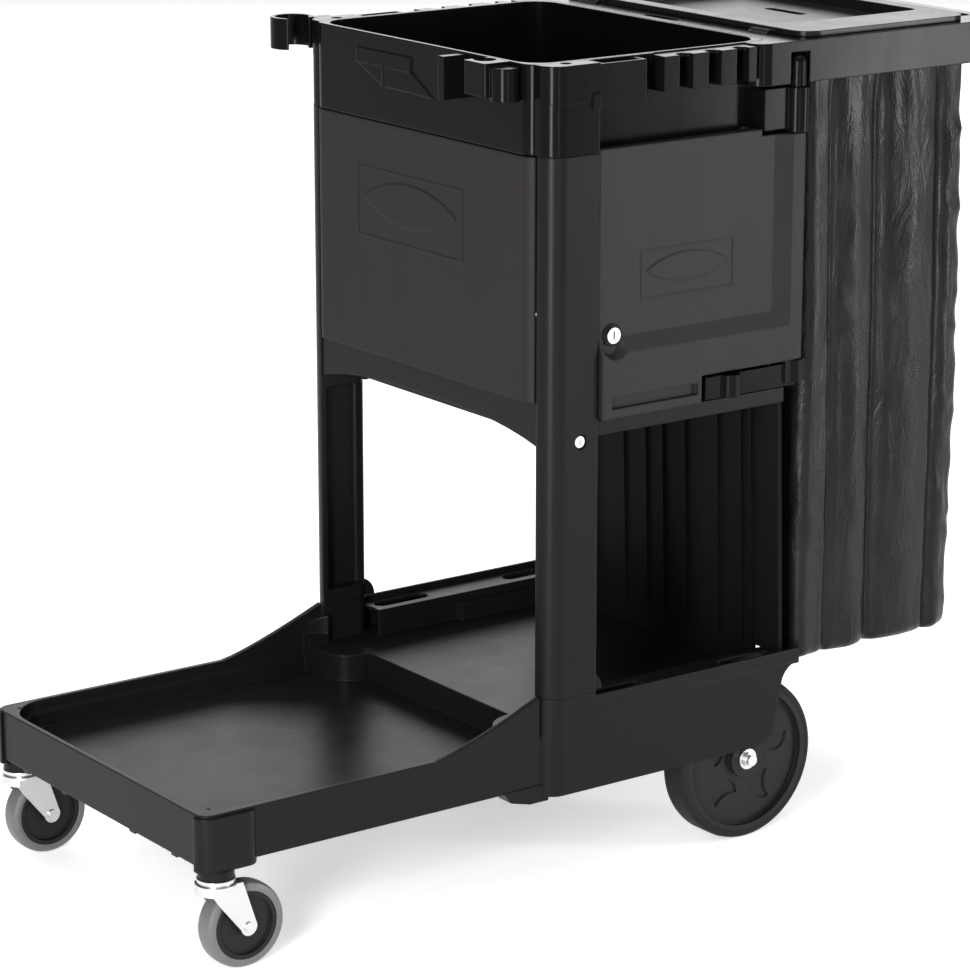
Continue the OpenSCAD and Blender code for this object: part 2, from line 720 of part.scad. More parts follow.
module lock_case_near() color([0.1, 0.1, 0.1]) placed() near_side() lock_case();
module lock_case_far() color([0.1, 0.1, 0.1]) placed() lock_case();
module lock_plug_near() color([0.8, 0.8, 0.82]) placed() near_side() lock_plug();
module lock_plug_far() color([0.8, 0.8, 0.82]) placed() lock_plug();
module lock_cam_near() color([0.6, 0.6, 0.62]) placed() near_side() lock_cam();
module lock_cam_far() color([0.6, 0.6, 0.62]) placed() lock_cam();

// ---- rear wheels ----

wheel_y = [rear_wheel_out - rear_wheel_w, rear_wheel_out];

module at_rear_axle() {
  translate([rear_axle[0], 0, rear_axle[1]]) children();
}

module rear_axle_rod() color([0.7, 0.71, 0.73]) placed() at_rear_axle()
  bar_y(rear_axle_r, [-(rear_wheel_out + 5.4), rear_wheel_out + 5.4]);

module axle_washers() color([0.78, 0.79, 0.8]) placed() both_sides() at_rear_axle() difference() {
  bar_y(13, [rear_wheel_out + slack, rear_wheel_out + 2.3]);
  bar_y(rear_axle_r + 0.1, [rear_wheel_out - 1, rear_wheel_out + 5]);
}

module axle_caps() color([0.8, 0.81, 0.82]) placed() both_sides() at_rear_axle() difference() {
  union() {
    bar_y(9, [rear_wheel_out + 2.5, rear_wheel_out + 6]);
    bar_y(6.8, [rear_wheel_out + 5, rear_wheel_out + 11]);
  }
  bar_y(rear_axle_r, [rear_wheel_out - 1, rear_wheel_out + 5.5]);
}

rim_in = rear_wheel_r - 9;           // inner radius of the tyre

// One curved pocket between two spokes of a wheel disc.
module spoke_pocket() {
  difference() {
    translate([52, 0]) circle(19);
    translate([68, 24]) circle(27);
  }
}

module rear_hub() at_rear_axle() difference() {
  union() {
    bar_y(rim_in - 0.2, [wheel_y[0] + 4, wheel_y[1] - 7]);
    difference() {
      bar_y(rim_in - 0.2, wheel_y);
      bar_y(rim_in - 7, [wheel_y[0] - 1, wheel_y[1] + 1]);
    }
    bar_y(24, wheel_y);
  }
  across([wheel_y[1] - 9.5, wheel_y[1] + 1])
    for (i = [0:4]) rotate(i * 72 + 20) spoke_pocket();
  bar_y(rear_axle_r + 0.08, [wheel_y[0] - 1, wheel_y[1] + 1]);
}

module rear_tyre() at_rear_axle() translate([0, wheel_y[0] + rear_wheel_w / 2, 0]) rotate([90, 0, 0])
  rotate_extrude($fn = 96) polygon([[rim_in, -rear_wheel_w / 2], [rear_wheel_r - 4, -rear_wheel_w / 2],
    [rear_wheel_r - 1, -rear_wheel_w / 2 + 2], [rear_wheel_r, -rear_wheel_w / 2 + 6],
    [rear_wheel_r, rear_wheel_w / 2 - 6], [rear_wheel_r - 1, rear_wheel_w / 2 - 2],
    [rear_wheel_r - 4, rear_wheel_w / 2], [rim_in, rear_wheel_w / 2]]);

module rear_hub_near() color([0.06, 0.06, 0.065]) placed() near_side() rear_hub();
module rear_hub_far() color([0.06, 0.06, 0.065]) placed() rear_hub();
module rear_tyre_near() color([0.13, 0.13, 0.135]) placed() near_side() rear_tyre();
module rear_tyre_far() color([0.13, 0.13, 0.135]) placed() rear_tyre();

// ---- casters ----

king_r = 4;
crown_z = 103;                       // underside of the fork's crown
fork_y = caster_y_half + 2;
caster_hub_r = 40;

module at_swivel() {
  translate([swivel_x, swivel_y, 0]) children();
}

module at_caster_axle() {
  translate([swivel_x + caster_trail, swivel_y, caster_r]) children();
}

module caster_stem() at_swivel() {
  translate([0, 0, 108.2]) cylinder(r = 22, h = 4);
  translate([0, 0, 112]) cylinder(r = 5.5, h = 60);
  // king pin with its riveted head under the crown
  translate([0, 0, crown_z - 4]) cylinder(r = king_r, h = 12);
  translate([0, 0, crown_z - 4]) cylinder(r = 7.5, h = 3.6);
}

crown_r = 24;
leg_r = 10.5;                        // round lower end of a fork leg
leg = [[-15, crown_z + 3], [-15, crown_z - 7], [-9, 86], [caster_trail - 10.3, caster_r - 2],
  [caster_trail + 10.3, caster_r + 2], [caster_trail - 7, crown_z + 3]];

module caster_fork() {
  difference() {
    at_swivel() union() {
      translate([0, 0, crown_z]) cylinder(r = crown_r, h = 3);
      translate([0, 0, crown_z + 2]) cylinder(r = 19, h = 2.9);
      translate([-14, -(fork_y + 2.4), crown_z]) cube([38, 2 * fork_y + 4.8, 3]);
      // turned-down front of the crown
      difference() {
        translate([0, 0, crown_z - 8]) cylinder(r = crown_r, h = 9);
        translate([0, 0, crown_z - 9]) cylinder(r = crown_r - 2.4, h = 9);
        translate([-13, -40, crown_z - 10]) cube([80, 80, 10]);
      }
      both_sides() across([fork_y, fork_y + 2.4]) {
        polygon(leg);
        translate([caster_trail, caster_r]) circle(leg_r);
      }
    }
    at_caster_axle() bar_y(3.92, [-30, 30]);
    at_swivel() translate([0, 0, crown_z - 1]) cylinder(r = king_r + 0.06, h = 10);
  }
}

module caster_axle() at_caster_axle() {
  for (y = [[-(fork_y + 4.4), -(fork_y + 2.5)], [fork_y + 2.5, fork_y + 4.4]]) bar_y(6, y);
  bar_y(3.9, [-(fork_y + 3), fork_y + 3]);
}

module caster_hub() at_caster_axle() difference() {
  union() {
    bar_y(caster_hub_r, [-8, 8]);
    difference() {
      bar_y(caster_hub_r, [-12.5, 12.5]);
      bar_y(caster_hub_r - 5, [-13, 13]);
    }
    bar_y(12, [-caster_y_half - 1, caster_y_half + 1]);
  }
  bar_y(3.97, [-20, 20]);
}

module caster_tyre() at_caster_axle() rotate([90, 0, 0]) rotate_extrude($fn = 96)
  polygon([[caster_hub_r + 0.1, -13], [caster_r - 6, -13.5], [caster_r - 2, -11.5], [caster_r - 0.5, -8],
    [caster_r, -4], [caster_r, 4], [caster_r - 0.5, 8], [caster_r - 2, 11.5], [caster_r - 6, 13.5],
    [caster_hub_r + 0.1, 13]]);

module caster_stem_near() color([0.7, 0.71, 0.73]) placed() near_side() caster_stem();
module caster_stem_far() color([0.7, 0.71, 0.73]) placed() caster_stem();
module caster_fork_near() color([0.8, 0.81, 0.83]) placed() near_side() caster_fork();
module caster_fork_far() color([0.8, 0.81, 0.83]) placed() caster_fork();
module caster_axle_near() color([0.8, 0.81, 0.83]) placed() near_side() caster_axle();
module caster_axle_far() color([0.8, 0.81, 0.83]) placed() caster_axle();
module caster_hub_near() color([0.08, 0.08, 0.085]) placed() near_side() caster_hub();
module caster_hub_far() color([0.08, 0.08, 0.085]) placed() caster_hub();
module caster_tyre_near() color([0.3, 0.3, 0.31]) placed() near_side() caster_tyre();
module caster_tyre_far() color([0.3, 0.3, 0.31]) placed() caster_tyre();

base_deck();
corner_block_near();
corner_block_far();
upright_near();
upright_far();
mid_shelf();
lower_back();
cabinet_back();
front_panel();
top_tray();
rim_side_near();
rim_side_far();
broom_hook();
handle_clip();
bag_frame();
lid();
lid_pins();
bag();
bag_clips();
door_near();
door_far();
hinge_rod_near();
hinge_rod_far();
upper_hinge_brackets();
lower_hinge_brackets();
lock_case_near();
lock_case_far();
lock_plug_near();
lock_plug_far();
lock_cam_near();
lock_cam_far();
frame_bolts();
rear_axle_rod();
axle_washers();
axle_caps();
rear_hub_near();
rear_hub_far();
rear_tyre_near();
rear_tyre_far();
caster_stem_near();
caster_stem_far();
caster_fork_near();
caster_fork_far();
caster_axle_near();
caster_axle_far();
caster_hub_near();
caster_hub_far();
caster_tyre_near();
caster_tyre_far();
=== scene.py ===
"""A housekeeping cart: finishes for its moulded parts, a hanging bag, and a plain studio."""

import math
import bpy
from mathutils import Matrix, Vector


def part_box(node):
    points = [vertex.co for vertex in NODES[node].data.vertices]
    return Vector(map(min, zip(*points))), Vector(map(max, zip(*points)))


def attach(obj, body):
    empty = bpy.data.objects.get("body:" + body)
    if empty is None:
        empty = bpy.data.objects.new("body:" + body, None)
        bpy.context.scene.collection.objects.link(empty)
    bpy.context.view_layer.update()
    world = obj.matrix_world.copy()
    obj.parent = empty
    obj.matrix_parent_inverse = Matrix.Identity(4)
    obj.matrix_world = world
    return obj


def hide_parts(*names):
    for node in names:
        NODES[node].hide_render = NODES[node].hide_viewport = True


bl_info = {
    "name": "Housekeeping Cart",
    "version": (1, 0, 0),
    "blender": (4, 5, 0),
    "location": "3D View > Sidebar > Cart",
    "description": "Gives the cart its finishes, hangs its bag and sets up a studio",
    "category": "Object",
}

import bpy
from bpy.props import FloatProperty, FloatVectorProperty, IntProperty, PointerProperty
from mathutils import Euler, Vector, noise

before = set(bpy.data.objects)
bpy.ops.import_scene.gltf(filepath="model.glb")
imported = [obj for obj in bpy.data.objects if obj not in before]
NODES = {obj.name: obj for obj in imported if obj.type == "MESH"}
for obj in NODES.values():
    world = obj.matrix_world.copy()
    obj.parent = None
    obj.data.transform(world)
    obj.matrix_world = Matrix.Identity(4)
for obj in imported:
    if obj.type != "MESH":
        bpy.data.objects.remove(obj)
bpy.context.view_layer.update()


# ---------------------------------------------------------------- shader maths

# Sockets of the Mix node for colours, which share their names with its other types.
FIRST_COLOUR, SECOND_COLOUR, MIXED_COLOUR = 6, 7, 2
HEIGHT_AXIS = 2  # the Z output of Separate XYZ


class Wire:
    """A shader socket that can be added, subtracted and multiplied."""

    def __init__(self, finish, socket):
        self.finish = finish
        self.socket = socket

    def maths(self, operation, *values):
        return self.finish.node(
            "ShaderNodeMath", {"operation": operation}, dict(enumerate(values))
        )

    def __add__(self, other):
        return self.maths("ADD", self, other)

    def __radd__(self, other):
        return self.maths("ADD", other, self)

    def __sub__(self, other):
        return self.maths("SUBTRACT", self, other)

    def __rsub__(self, other):
        return self.maths("SUBTRACT", other, self)

    def __mul__(self, other):
        return self.maths("MULTIPLY", self, other)

    def __rmul__(self, other):
        return self.maths("MULTIPLY", other, self)

    def wave(self):
        return self.maths("SINE", self)


class Finish:
    """One material, built node by node around a Principled shader."""

    def __init__(self, name, roughness, metallic=0.0, ior=1.5):
        self.material = bpy.data.materials.new(name)
        self.material.use_nodes = True
        self.tree = self.material.node_tree
        self.tree.nodes.clear()
        self.surface = self.tree.nodes.new("ShaderNodeBsdfPrincipled")
        output = self.tree.nodes.new("ShaderNodeOutputMaterial")
        self.tree.links.new(self.surface.outputs["BSDF"], output.inputs["Surface"])
        self.feed(self.surface, "Roughness", roughness)
        self.feed(self.surface, "Metallic", metallic)
        self.feed(self.surface, "IOR", ior)

    def feed(self, node, name, value):
        """Links a wire to a socket, or sets the socket's own value."""
        target = node.inputs[name]
        if isinstance(value, Wire):
            self.tree.links.new(value.socket, target)
        else:
            target.default_value = value

    def node(self, kind, settings=None, values=None, out=0):
        """Adds a node: its settings first, then its sockets' values or wires."""
        made = self.tree.nodes.new(kind)
        for key, value in (settings or {}).items():
            setattr(made, key, value)
        for key, value in (values or {}).items():
            self.feed(made, key, value)
        return Wire(self, made.outputs[out])

    def place(self):
        """The point on the piece, in metres."""
        return self.node("ShaderNodeTexCoord", out="Object")

    def stretched(self, scale):
        """The point with each axis scaled, for marks that run one way."""
        return self.node(
            "ShaderNodeVectorMath",
            {"operation": "MULTIPLY"},
            {0: self.place(), 1: scale},
        )

    def noise(self, scale, detail=2.0, rough=0.5, where=None, warp=0.0):
        values = {
            "Vector": where or self.place(),
            "Scale": scale,
            "Detail": detail,
            "Roughness": rough,
            "Distortion": warp,
        }
        return self.node("ShaderNodeTexNoise", None, values)

    def spread(self, value, low, high):
        """0 where the value is low or less, 1 where it is high or more."""
        values = {"Value": value, "From Min": low, "From Max": high}
        return self.node("ShaderNodeMapRange", None, values)

    def blend(self, mask, first, second):
        """The first colour where the mask is 0, the second where it is 1."""
        values = {"Factor": mask, FIRST_COLOUR: first, SECOND_COLOUR: second}
        return self.node("ShaderNodeMix", {"data_type": "RGBA"}, values, out=MIXED_COLOUR)

    def colour(self, value):
        self.feed(self.surface, "Base Color", value)

    def roughness(self, value):
        self.feed(self.surface, "Roughness", value)

    def relief(self, height, distance, strength, edge=0.0):
        """Raises the surface by height, and rounds its edges by edge metres."""
        values = {"Height": height, "Distance": distance, "Strength": strength}
        if edge:
            values["Normal"] = self.node("ShaderNodeBevel", {"samples": 6}, {"Radius": edge})
        self.feed(self.surface, "Normal", self.node("ShaderNodeBump", None, values))


# ---------------------------------------------------------------- finishes


def rgba(colour):
    """The colour, opaque."""
    return (colour[0], colour[1], colour[2], 1.0)


def shade(colour, factor):
    """The colour with its brightness times the factor."""
    return rgba([channel * factor for channel in colour])


def moulded(name, colour, roughness, grain, edge, ior=1.5):
    """Injection-moulded plastic with a fine grain, handling marks and worn, rounded edges."""
    finish = Finish(name, roughness, ior=ior)
    broad = finish.noise(3.5, detail=3.0, rough=0.55)
    rubbed = finish.stretched((22.0, 22.0, 7.0))
    smear = finish.noise(1.0, detail=4.0, rough=0.6, where=rubbed, warp=0.6)
    finish.colour(finish.blend(broad, shade(colour, 0.85), shade(colour, 1.15)))
    finish.roughness(roughness + (smear - 0.5) * 0.14 + (broad - 0.5) * 0.06)
    pebble = finish.noise(900.0, detail=1.0)
    height = pebble * grain + smear * 0.02
    finish.relief(height, distance=0.0004, strength=0.35, edge=edge)
    return finish.material


RIBS_PER_METRE = 2100.0  # in radians; one rib is one turn of the sine
DUST_TINT = (2.2, 2.0, 1.7)  # how much lighter dusty cloth is, per channel


def woven_vinyl(name, colour):
    """Coated woven cloth: fine ribs, soft creases and a broken sheen."""
    finish = Finish(name, 0.28, ior=1.26)
    cloud = finish.noise(9.0, detail=5.0, rough=0.6)
    hanging = finish.stretched((2.2, 2.2, 0.6))
    crease = finish.noise(14.0, detail=4.0, rough=0.65, where=hanging, warp=1.2)
    dust = finish.spread(cloud, 0.45, 0.7)
    dusty = rgba([channel * more for channel, more in zip(colour, DUST_TINT)])
    finish.colour(finish.blend(dust, rgba(colour), dusty))
    finish.roughness(0.3 + dust * 0.16)
    height = finish.node(
        "ShaderNodeSeparateXYZ", None, {"Vector": finish.place()}, out=HEIGHT_AXIS
    )
    ribs = (height * RIBS_PER_METRE + cloud * 3.0).wave()
    finish.relief(crease * 3.0 + ribs * 0.04, distance=0.0016, strength=0.5)
    return finish.material


def zinc_plate(name, value, roughness):
    """Bright zinc: long rolling marks and a few dull patches."""
    finish = Finish(name, roughness, metallic=1.0)
    rolled = finish.noise(30.0, detail=3.0, rough=0.6, where=finish.stretched((1.0, 1.0, 9.0)))
    patch = finish.noise(12.0, detail=2.0)
    grey = (value, value, value)
    finish.colour(finish.blend(patch, shade(grey, 0.9), shade(grey, 1.05)))
    finish.roughness(roughness + (rolled - 0.5) * 0.16)
    finish.relief(rolled, distance=0.0002, strength=0.3, edge=0.0006)
    return finish.material


def place_object(scene, name, data):
    """Adds an object with this data to the scene."""
    added = bpy.data.objects.new(name, data)
    scene.collection.objects.link(added)
    return added


def pair(name):
    """The near and the far one of two mirrored pieces."""
    return (name + "_near", name + "_far")


def dress(material, *names):
    """Gives CAD nodes a finish, in every slot they have."""
    for name in names:
        mesh = NODES[name].data
        if not mesh.materials:
            mesh.materials.append(material)
        for index in range(len(mesh.materials)):
            mesh.materials[index] = material
        for face in mesh.polygons:
            face.material_index = 0


# ---------------------------------------------------------------- what a user can change


class CartFinishes(bpy.types.PropertyGroup):
    """Colours of the cart's moulded parts."""

    black: FloatVectorProperty(
        name="Base black", description="Colour of the moulded base and uprights",
        default=(0.0066, 0.0066, 0.0072), size=3, subtype="COLOR", min=0.0, max=1.0,
    )
    panel: FloatVectorProperty(
        name="Front panel", description="Colour of the matt front panel",
        default=(0.0145, 0.0131, 0.0123), size=3, subtype="COLOR", min=0.0, max=1.0,
    )
    door: FloatVectorProperty(
        name="Doors", description="Colour of the cabinet doors",
        default=(0.0122, 0.0124, 0.0140), size=3, subtype="COLOR", min=0.0, max=1.0,
    )
    tread: FloatVectorProperty(
        name="Caster treads", description="Colour of the caster treads",
        default=(0.085, 0.085, 0.087), size=3, subtype="COLOR", min=0.0, max=1.0,
    )


class CartBag(bpy.types.PropertyGroup):
    """The soft bag under the lid."""

    colour: FloatVectorProperty(
        name="Vinyl", description="Colour of the bag's coated cloth",
        default=(0.0045, 0.0045, 0.0048), size=3, subtype="COLOR", min=0.0, max=1.0,
    )
    corner: FloatProperty(
        name="Corner radius", description="Radius of the bag's upright corners",
        default=0.013, min=0.005, max=0.05, unit="LENGTH",
    )
    folds: FloatProperty(
        name="Folds", description="Depth of the folds, as a share of their usual depth",
        default=1.25, min=0.0, max=1.5,
    )
    columns: IntProperty(
        name="Columns", description="Steps round the bag", default=420, min=80, max=800,
    )
    rows: IntProperty(
        name="Rows", description="Steps down the bag", default=180, min=40, max=400,
    )


class CartStudio(bpy.types.PropertyGroup):
    """The camera's lens."""

    focal: FloatProperty(
        name="Lens", description="Focal length of the camera on a 36 mm sensor",
        default=134.2, min=20.0, max=300.0,
    )


# ---------------------------------------------------------------- finishing the CAD pieces


class CART_OT_finish_frame(bpy.types.Operator):
    """Gives the moulded base, uprights, tray and cabinet their finishes"""

    bl_idname = "cart.finish_frame"
    bl_label = "Finish the moulded frame"

    def execute(self, context):
        look = context.scene.cart_finishes
        base = moulded(
            "moulded_black", look.black, roughness=0.3, grain=0.6, edge=0.003, ior=1.18,
        )
        dress(base, "base_deck", "mid_shelf", "cabinet_back",
              *pair("corner_block"), *pair("upright"), *pair("lock_case"))
        # Painted shade: the lower bay's back wall gets the base black at half its value, standing
        # in for the shade in that deep recess; it is the same plastic as the base.
        wall = moulded(
            "back_wall_painted_shade", shade(look.black, 0.5),
            roughness=0.6, grain=0.8, edge=0.0, ior=1.15,
        )
        dress(wall, "lower_back")
        gloss = moulded(
            "polished_black", shade(look.black, 0.45),
            roughness=0.17, grain=0.1, edge=0.0022, ior=1.16,
        )
        dress(gloss, "top_tray", *pair("rim_side"), "broom_hook", "handle_clip", "bag_frame",
              "bag_clips", "upper_hinge_brackets", "lower_hinge_brackets", *pair("hinge_rod"))
        # Painted sheen: the lid gets a lighter copy of the black (0.8 of the base black against
        # the polished parts' 0.45), standing in for the light its top face catches; its higher
        # IOR is real reflection.
        lid = moulded(
            "lid_painted_sheen", shade(look.black, 0.8), roughness=0.3, grain=0.3, edge=0.0022, ior=1.3,
        )
        dress(lid, "lid")
        panel = moulded(
            "front_panel_grey", look.panel, roughness=0.5, grain=1.0, edge=0.004, ior=1.2,
        )
        dress(panel, "front_panel")
        door = moulded(
            "door_grey", look.door, roughness=0.46, grain=1.0, edge=0.004, ior=1.24,
        )
        dress(door, *pair("door"))
        return {"FINISHED"}


class CART_OT_finish_wheels(bpy.types.Operator):
    """Gives the wheels, casters, bolts and locks their finishes"""

    bl_idname = "cart.finish_wheels"
    bl_label = "Finish the wheels and metal parts"

    def execute(self, context):
        look = context.scene.cart_finishes
        hub = moulded(
            "hub_black", shade(look.black, 1.2), roughness=0.4, grain=0.5, edge=0.0015, ior=1.25,
        )
        dress(hub, *pair("rear_hub"), *pair("caster_hub"))
        tyre = moulded(
            "tyre_black", look.black, roughness=0.6, grain=1.0, edge=0.0015, ior=1.25,
        )
        dress(tyre, *pair("rear_tyre"))
        tread = moulded("tread_grey", look.tread, roughness=0.42, grain=0.5, edge=0.002)
        dress(tread, *pair("caster_tyre"))
        zinc = zinc_plate("zinc_plate", value=0.6, roughness=0.3)
        dress(zinc, "lid_pins", *pair("lock_cam"), "rear_axle_rod", "axle_washers", "axle_caps",
              "frame_bolts", *pair("caster_stem"), *pair("caster_fork"), *pair("caster_axle"))
        chrome = zinc_plate("lock_chrome", value=0.6, roughness=0.16)
        dress(chrome, *pair("lock_plug"))
        return {"FINISHED"}


# ---------------------------------------------------------------- the bag

CORNER_STEPS = 8  # straight steps in each rounded corner of the section

# Lengths in metres.
WALL_INSET = 0.002  # how far the smooth wall lies inside the space it may fill
BULGE = 0.004  # how far the walls belly out at half their height
CREASE_HEIGHT = 0.349  # a faint crease across the bag, where it was folded flat
CREASE_WIDTH = 0.004
CREASE_DEPTH = 0.0022
GATHER_DEPTH = 0.0016  # small pleats under the frame, where the cloth is gathered
FOOT_ROUND = 0.014  # radius where the walls turn under
FOOT_SAG = 0.0025  # how far the foot hangs below its rim
FOOT_TIP = 0.003  # how far its middle point does

# Crumples in the cloth: how fast they change along x, y and the drop.
BROAD_SWELLS = Vector((9.0, 9.0, 3.2))
FINE_SWELLS = 4.7  # times the broad ones
FINE_START = Vector((3.0, 1.0, 7.0))
CREASES = Vector((26.0, 26.0, 15.0))
PLEATS = 240.0  # in radians a metre
REAR_CORNER = (0.82, 0.9)  # where the cloth gets more crumpled, as shares of the depth

# Shares of the drop, from the frame down.
STRAIGHT_DROP = 0.12  # where the folds reach their full depth
GATHER_DROP = 0.07  # where the pleats have mostly faded

FOOT_ROWS = 10  # rows of faces in the foot
TURN_ROWS = 4  # the outer ones of them, which turn under
FOOT_CLOSED = 0.97  # how far the last row has drawn in towards the middle


def ease(value, low, high):
    """0 below low, 1 above high, and smooth between."""
    t = min(max((value - low) / (high - low), 0.0), 1.0)
    return t * t * (3.0 - 2.0 * t)


def ridge(value, centre, width):
    """A rounded ridge of height 1."""
    return math.exp(-(((value - centre) / width) ** 2))


def ring_points(low, high, radius, columns):
    """Places and outward directions round a rounded rectangle, in even steps."""
    corners = (
        (high[0] - radius, low[1] + radius, -90.0),
        (high[0] - radius, high[1] - radius, 0.0),
        (low[0] + radius, high[1] - radius, 90.0),
        (low[0] + radius, low[1] + radius, 180.0),
    )
    path = []
    for cx, cy, start in corners:
        for step in range(CORNER_STEPS + 1):
            angle = math.radians(start + 90.0 * step / CORNER_STEPS)
            out = Vector((math.cos(angle), math.sin(angle), 0.0))
            path.append((Vector((cx, cy, 0.0)) + out * radius, out))
    lengths = [0.0]
    for index, (place, _) in enumerate(path):
        after = path[(index + 1) % len(path)][0]
        lengths.append(lengths[-1] + (after - place).length)
    ring = []
    at = 0
    for column in range(columns):
        along = lengths[-1] * column / columns
        while lengths[at + 1] <= along:
            at += 1
        share = (along - lengths[at]) / (lengths[at + 1] - lengths[at])
        place, out = path[at]
        next_place, next_out = path[(at + 1) % len(path)]
        ring.append((place.lerp(next_place, share), out.lerp(next_out, share).normalized()))
    return ring


# Folds down the bag's walls: where each starts, how far it drifts on its way down and how
# wide it is, as shares of the wall's length, and how far it stands out in metres.
SIDE_FOLDS = (
    (0.06, 0.00, 0.05, 0.0020),
    (0.155, 0.05, 0.018, -0.0050),
    (0.28, 0.07, 0.075, 0.0045),
    (0.45, 0.03, 0.035, -0.0085),
    (0.66, 0.01, 0.13, 0.0050),
    (0.825, 0.01, 0.014, -0.0070),
    (0.90, 0.00, 0.04, 0.0030),
)
END_FOLDS = (
    (0.08, 0.02, 0.04, 0.0040),
    (0.22, 0.03, 0.03, -0.0050),
    (0.38, -0.02, 0.08, 0.0050),
    (0.55, 0.02, 0.03, -0.0060),
    (0.72, 0.00, 0.08, 0.0050),
    (0.90, -0.02, 0.03, -0.0050),
)


def bag_fold(place, out, height, low, high, folds):
    """How far the cloth stands out from its straight section there, in metres."""
    down = 1.0 - height
    hung = ease(down, 0.0, STRAIGHT_DROP)
    across = (place.x - low[0]) / (high[0] - low[0])
    end = (place.y - low[1]) / (high[1] - low[1])
    total = 0.0
    for share, table, weight in (
        (across, SIDE_FOLDS, abs(out.y)),
        (end, END_FOLDS, abs(out.x)),
    ):
        for centre, drift, width, size in table:
            total += weight * size * ridge(share, centre + drift * down, width)
    spot = Vector((place.x, place.y, height))
    swell = spot * BROAD_SWELLS
    broad = noise.noise(swell)
    fine = noise.noise(swell * FINE_SWELLS + FINE_START)
    creased = 1.0 - abs(noise.noise(spot * CREASES)) * 2.0
    crumple = ease(across, *REAR_CORNER) + 0.35
    total += broad * 0.0026 + fine * 0.0010 + (creased - 0.6) * 0.0016 * crumple
    gather = math.sin((place.x + place.y) * PLEATS + 3.0 * broad) * GATHER_DEPTH
    gather *= math.exp(-down / GATHER_DROP) * ease(down, 0.0, 0.02)
    belly = BULGE * math.sin(math.pi * height) * hung
    return total * hung * folds + gather + belly


def bag_walls(ring, low, high, cloth):
    """Points of the bag's walls, row by row from the frame down."""
    points = []
    for row in range(cloth.rows + 1):
        height = 1.0 - row / cloth.rows
        z = low[2] + FOOT_ROUND + (high[2] - low[2] - FOOT_ROUND) * height
        crossing = CREASE_DEPTH * ridge(z, CREASE_HEIGHT, CREASE_WIDTH)
        for place, out in ring:
            stand = bag_fold(place, out, height, low, high, cloth.folds)
            crease = crossing * noise.noise(place * 20.0)
            spot = place + out * (stand - WALL_INSET + crease)
            points.append((spot.x, spot.y, z))
    return points


def bag_foot(ring, edges, middle, bottom):
    """Points of the foot: the walls turn under, then draw in to the middle and sag."""
    points = []
    for row in range(1, FOOT_ROWS + 1):
        angle = math.radians(90.0 * min(row / TURN_ROWS, 1.0))
        inset, drop = FOOT_ROUND * (1 - math.cos(angle)), FOOT_ROUND * math.sin(angle)
        drawn = max(row - TURN_ROWS, 0) / (FOOT_ROWS - TURN_ROWS)
        shrink = 1.0 - FOOT_CLOSED * drawn
        for (place, out), edge in zip(ring, edges):
            spot = middle + (edge - out * inset - middle) * shrink
            swell = 1.0 + noise.noise(place * 14.0 + out * (row / FOOT_ROWS))
            dip = FOOT_SAG * (1.0 - shrink) * swell
            points.append((spot.x, spot.y, bottom + FOOT_ROUND - drop - dip))
    points.append((middle.x, middle.y, bottom - FOOT_TIP))
    return points


def ring_faces(rings, columns):
    """Faces between each ring of points and the next, and from the last to its middle."""
    faces = []
    for row in range(rings - 1):
        one, two = row * columns, (row + 1) * columns
        for column in range(columns):
            after = (column + 1) % columns
            faces.append((one + column, two + column, two + after, one + after))
    last, centre = (rings - 1) * columns, rings * columns
    for column in range(columns):
        faces.append((last + column, centre, last + (column + 1) % columns))
    return faces


class CART_OT_hang_bag(bpy.types.Operator):
    """Builds the soft waste bag that hangs from the rear frame"""

    bl_idname = "cart.hang_bag"
    bl_label = "Hang the bag"

    def execute(self, context):
        cloth = context.scene.cart_bag
        low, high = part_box("bag")
        ring = ring_points(low, high, cloth.corner, cloth.columns)
        middle = Vector(((low[0] + high[0]) / 2, (low[1] + high[1]) / 2, 0.0))
        walls = bag_walls(ring, low, high, cloth)
        edges = [Vector(point) for point in walls[-cloth.columns:]]
        foot = bag_foot(ring, edges, middle, low[2])
        faces = ring_faces(cloth.rows + 1 + FOOT_ROWS, cloth.columns)
        mesh = bpy.data.meshes.new("waste_bag")
        mesh.from_pydata(walls + foot, [], faces)
        if mesh.validate():
            raise RuntimeError("the bag's mesh has faulty faces")
        for face in mesh.polygons:
            face.use_smooth = True
        bag = place_object(context.scene, "waste_bag", mesh)
        mesh.materials.append(woven_vinyl("bag_vinyl", cloth.colour))
        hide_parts("bag")
        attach(bag, "cart")
        return {"FINISHED"}


# ---------------------------------------------------------------- the studio

FLOOR_REACH = 30.0  # from the middle of the floor to its edges
FLOOR_GLOW = 0.46
FLOOR_PAPER = (0.9, 0.9, 0.9)
WHITE = (1.0, 1.0, 1.0)
SKY_STRENGTH = 0.42

SENSOR_WIDTH = 36.0  # in millimetres
CAMERA_PLACE = (-2.5281, -3.4710, 1.5848)
CAMERA_YAW = math.radians(35.921)
CAMERA_DIP = math.radians(15.155)
CAMERA_REACH = (0.1, 100.0)

# Soft lights: name, place, the point each one faces, width and height in metres, watts.
LIGHTS = (
    ("overhead", (0.2, 0.3, 3.8), (0.0, 0.0, 0.3), 3.6, 3.6, 90.0),
    ("front_strip", (-2.6, -1.9, 1.0), (0.0, 0.0, 0.55), 0.6, 2.0, 120.0),
    ("near_strip", (-0.9, -3.6, 1.0), (0.0, 0.0, 0.6), 0.4, 2.0, 12.0),
    ("side_strip", (2.6, -2.6, 1.0), (0.1, 0.0, 0.6), 0.5, 2.0, 60.0),
    ("backdrop", (4.2, 5.8, 2.5), (0.0, 0.0, 0.6), 9.0, 3.2, 150.0),
)


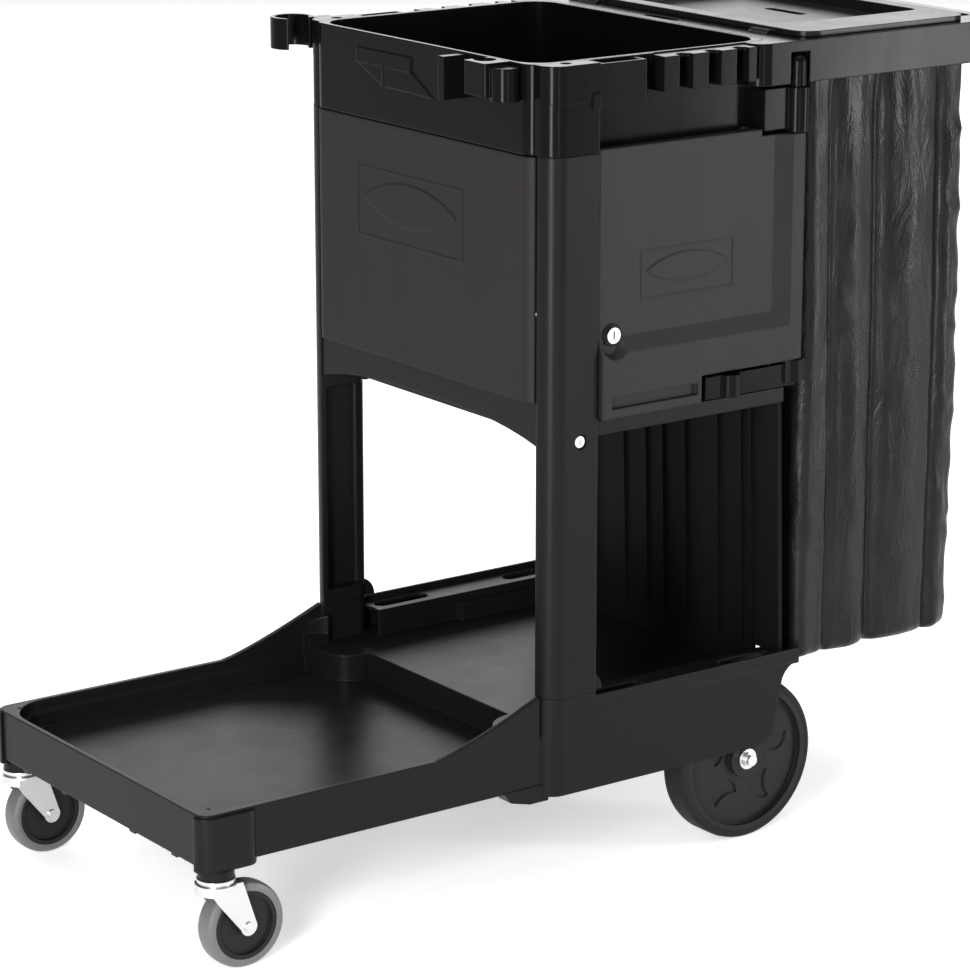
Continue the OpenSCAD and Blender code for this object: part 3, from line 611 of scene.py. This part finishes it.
def lay_floor(scene):
    """A wide pale sheet of paper that glows a little, so it stays even to its edges."""
    mesh = bpy.data.meshes.new("studio_floor")
    corners = [Vector((x, y, 0.0)) * FLOOR_REACH for x, y in ((-1, -1), (1, -1), (1, 1), (-1, 1))]
    mesh.from_pydata(corners, [], [(0, 1, 2, 3)])
    paper = Finish("pale_floor", 0.6)
    paper.colour(rgba(FLOOR_PAPER))
    paper.feed(paper.surface, "Emission Color", rgba(WHITE))
    paper.feed(paper.surface, "Emission Strength", FLOOR_GLOW)
    mesh.materials.append(paper.material)
    place_object(scene, "studio_floor", mesh)


def set_camera(scene):
    """The camera, turned to the rear from straight ahead and dipped towards the floor."""
    lens = bpy.data.cameras.new("studio_camera")
    lens.sensor_width = SENSOR_WIDTH
    lens.lens = scene.cart_studio.focal
    lens.clip_start, lens.clip_end = CAMERA_REACH
    camera = place_object(scene, "studio_camera", lens)
    camera.location = CAMERA_PLACE
    camera.rotation_mode = "XYZ"
    camera.rotation_euler = Euler((math.pi / 2 - CAMERA_DIP, 0.0, -CAMERA_YAW), "XYZ")
    scene.camera = camera


def light_the_scene(scene):
    """A plain white sky and the soft lights."""
    sky = bpy.data.worlds.new("studio_world")
    sky.use_nodes = True
    glow = sky.node_tree.nodes["Background"]
    glow.inputs["Color"].default_value = rgba(WHITE)
    glow.inputs["Strength"].default_value = SKY_STRENGTH
    scene.world = sky
    for name, place, aim, width, tall, power in LIGHTS:
        lamp = bpy.data.lights.new(name, "AREA")
        lamp.shape = "RECTANGLE"
        lamp.size, lamp.size_y = width, tall
        lamp.energy = power
        holder = place_object(scene, name, lamp)
        holder.location = place
        facing = Vector(aim) - Vector(place)
        holder.rotation_euler = facing.to_track_quat("-Z", "Y").to_euler()
    scene.view_settings.view_transform = "Standard"


class CART_OT_studio(bpy.types.Operator):
    """Adds the floor, the soft lights and the camera"""

    bl_idname = "cart.studio"
    bl_label = "Set up the studio"

    def execute(self, context):
        lay_floor(context.scene)
        set_camera(context.scene)
        light_the_scene(context.scene)
        return {"FINISHED"}


# ---------------------------------------------------------------- add-on


class CART_PT_panel(bpy.types.Panel):
    """Lists the steps that build the cart's looks"""

    bl_idname = "CART_PT_panel"
    bl_label = "Housekeeping cart"
    bl_space_type = "VIEW_3D"
    bl_region_type = "UI"
    bl_category = "Cart"

    def draw(self, context):
        for step in STEPS:
            self.layout.operator(step.bl_idname)


STEPS = (CART_OT_finish_frame, CART_OT_finish_wheels, CART_OT_hang_bag, CART_OT_studio)
GROUPS = (CartFinishes, CartBag, CartStudio)


def register():
    for cls in GROUPS + STEPS + (CART_PT_panel,):
        bpy.utils.register_class(cls)
    bpy.types.Scene.cart_finishes = PointerProperty(type=CartFinishes)
    bpy.types.Scene.cart_bag = PointerProperty(type=CartBag)
    bpy.types.Scene.cart_studio = PointerProperty(type=CartStudio)


def unregister():
    del bpy.types.Scene.cart_finishes
    del bpy.types.Scene.cart_bag
    del bpy.types.Scene.cart_studio
    for cls in reversed(GROUPS + STEPS + (CART_PT_panel,)):
        bpy.utils.unregister_class(cls)


def main():
    register()
    bpy.ops.cart.finish_frame()
    bpy.ops.cart.finish_wheels()
    bpy.ops.cart.hang_bag()
    bpy.ops.cart.studio()


if __name__ == "__main__":
    main()
